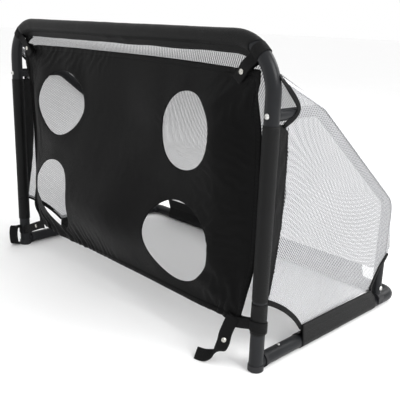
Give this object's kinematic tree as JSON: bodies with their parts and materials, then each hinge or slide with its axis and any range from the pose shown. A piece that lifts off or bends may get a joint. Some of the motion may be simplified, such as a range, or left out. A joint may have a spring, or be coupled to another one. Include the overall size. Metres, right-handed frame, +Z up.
{
  "type": "hockey goal net",
  "caption": "Low steel-tube ice hockey goal with a white mesh net and a black target sheet with round holes hung across the mouth.",
  "frame": {"origin": "on the floor, under the middle of the whole goal's box", "axes": "+X to the right post seen from the front, -Y out of the mouth, +Z up"},
  "size_m": [1.052, 0.635, 0.7175],
  "materials": {
    "frame_paint": "fine satin charcoal powder coat, scuffed on edges",
    "zinc": "zinc-plated, satin",
    "spring_steel": "plain spring steel",
    "nylon": "black moulded nylon with fine grain",
    "sleeve_cloth": "black woven polyester, slightly shiny",
    "net_mesh": "white knitted diamond mesh",
    "binding_tape": "black ribbed binding tape",
    "target_cloth": "black coated woven polyester with soft creases",
    "webbing": "black woven webbing",
    "stud_metal": "nickel press stud"
  },
  "bodies": {
    "goal": {"front_tube_left": "frame_paint", "front_tube_right": "frame_paint", "crossbar_joiner": "frame_paint", "base_tube_left": "frame_paint", "base_tube_right": "frame_paint", "rear_joiner": "frame_paint", "joiner_rivets": "zinc", "post_stub_left": "frame_paint", "post_stub_right": "frame_paint", "stub_collar_left": "nylon", "stub_collar_right": "nylon", "snap_spring_left": "spring_steel", "snap_spring_right": "spring_steel", "crossbar_spring": "spring_steel", "rear_spring": "spring_steel", "foot_cap_left": "nylon", "foot_cap_right": "nylon", "support_tube_left": "frame_paint", "support_tube_right": "frame_paint", "support_plug_left": "nylon", "support_plug_right": "nylon", "upper_bolts": "zinc", "support_saddle_left": "nylon", "support_saddle_right": "nylon", "saddle_bolts": "zinc", "saddle_nuts": "zinc", "top_sleeve": "sleeve_cloth", "post_sleeve_left": "sleeve_cloth", "post_sleeve_right": "sleeve_cloth", "base_sleeve_left": "sleeve_cloth", "base_sleeve_right": "sleeve_cloth", "rear_sleeve": "sleeve_cloth", "side_net_left": "net_mesh", "side_net_right": "net_mesh", "back_net": "net_mesh", "upper_binding_left": "binding_tape", "upper_binding_right": "binding_tape", "front_binding_left": "binding_tape", "front_binding_right": "binding_tape", "rear_binding_left": "binding_tape", "rear_binding_right": "binding_tape", "target_sheet": "target_cloth", "strap_top_left": "webbing", "strap_top_right": "webbing", "strap_bottom_left": "webbing", "strap_bottom_right": "webbing", "stud_caps": "stud_metal", "stud_sockets": "stud_metal"},
    "left_button": {"snap_button_left": "zinc"},
    "right_button": {"snap_button_right": "zinc"},
    "bar_button": {"crossbar_button": "zinc"},
    "rear_tube_button": {"rear_button": "zinc"}
  },
  "joints": [
    {"name": "left_button_press", "type": "slide", "parent": "goal", "child": "left_button", "axis": [0, 0, -1], "range_m": [0, 0.0048], "stiffness_N_per_m": 3000, "springref_m": -0.003, "deforming": ["snap_spring_left"]},
    {"name": "right_button_press", "type": "slide", "parent": "goal", "child": "right_button", "axis": [0, 0, -1], "range_m": [0, 0.0048], "stiffness_N_per_m": 3000, "springref_m": -0.003, "deforming": ["snap_spring_right"]},
    {"name": "bar_button_press", "type": "slide", "parent": "goal", "child": "bar_button", "axis": [0, 0, 1], "range_m": [0, 0.0048], "stiffness_N_per_m": 3000, "springref_m": -0.003, "deforming": ["crossbar_spring"]},
    {"name": "rear_button_press", "type": "slide", "parent": "goal", "child": "rear_tube_button", "axis": [0, 0, -1], "range_m": [0, 0.0048], "stiffness_N_per_m": 3000, "springref_m": -0.003, "deforming": ["rear_spring"]}
  ]
}
